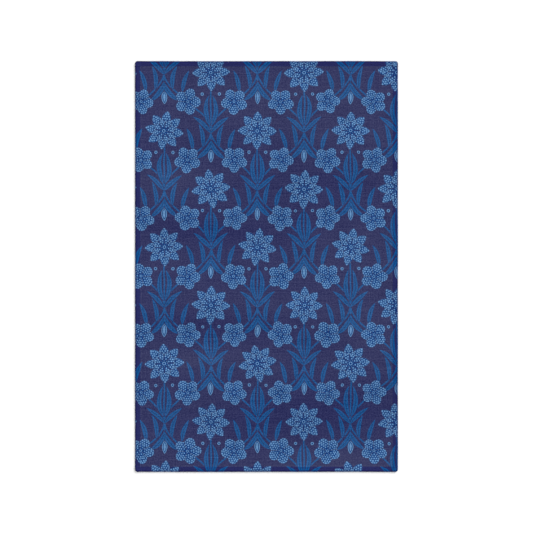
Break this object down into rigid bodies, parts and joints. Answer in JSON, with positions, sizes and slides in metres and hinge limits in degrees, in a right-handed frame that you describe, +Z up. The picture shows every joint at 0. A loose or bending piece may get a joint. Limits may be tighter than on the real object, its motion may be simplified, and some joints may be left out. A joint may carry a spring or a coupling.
{
  "type": "tea towel",
  "caption": "Flat rectangular tea towel in printed plain-weave cloth with a narrow sewn hem all round, for drying dishes or covering food.",
  "frame": {"origin": "middle of the underside, on the surface the towel lies on", "axes": "+X across the width, +Y along the length towards the top of the print, +Z up out of the printed face"},
  "size_m": [0.4064, 0.635, 0.003],
  "materials": {
    "printed_cloth": "plain-weave cotton, printed with a light blue floral on navy, matt",
    "sewing_thread": "spun polyester thread, navy, matt"
  },
  "bodies": {
    "root": {"towel": "printed_cloth"}
  },
  "joints": []
}
